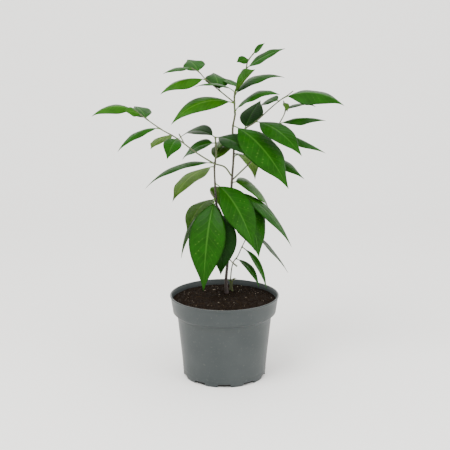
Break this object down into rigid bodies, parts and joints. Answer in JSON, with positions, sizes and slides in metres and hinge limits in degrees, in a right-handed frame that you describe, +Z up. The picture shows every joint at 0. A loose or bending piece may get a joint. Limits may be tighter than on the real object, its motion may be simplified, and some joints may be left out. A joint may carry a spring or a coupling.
{
  "type": "potted date plum plant",
  "caption": "Young date plum with two thin stems and large pointed leaves, growing in compost in a round nursery pot with a deep collar and drain notches round its foot",
  "frame": {"origin": "middle of the pot's flat underside", "axes": "+Z up along the pot's axis; -Y is the side that faces the picture's camera; +X is to its right"},
  "size_m": [0.415, 0.1899, 0.576],
  "materials": {
    "pot_plastic": "matt grey-black polypropylene",
    "compost": "damp peaty compost",
    "bark": "smooth dark purple-brown bark, olive towards the top",
    "foliage": "satin dark green leaves, lighter below"
  },
  "bodies": {
    "root": {"pot": "pot_plastic", "soil": "compost", "trunk": "bark", "left_stem": "bark", "trunk_stub": "bark", "stem_bud": "bark", "trunk_leaf_1": "foliage", "trunk_leaf_2": "foliage", "trunk_leaf_3": "foliage", "trunk_leaf_4": "foliage", "trunk_leaf_5": "foliage", "stem_leaf_1": "foliage", "stem_leaf_2": "foliage", "stem_leaf_3": "foliage", "stem_leaf_4": "foliage", "stem_leaf_5": "foliage", "stem_leaf_6": "foliage", "stem_leaf_7": "foliage", "stem_leaf_8": "foliage", "stem_leaf_9": "foliage", "top_shoot": "foliage", "left_top": "foliage", "left_shoot": "foliage", "right_shoot": "foliage", "right_low_shoot": "foliage", "low_branch": "foliage", "sprout": "foliage"}
  },
  "joints": []
}
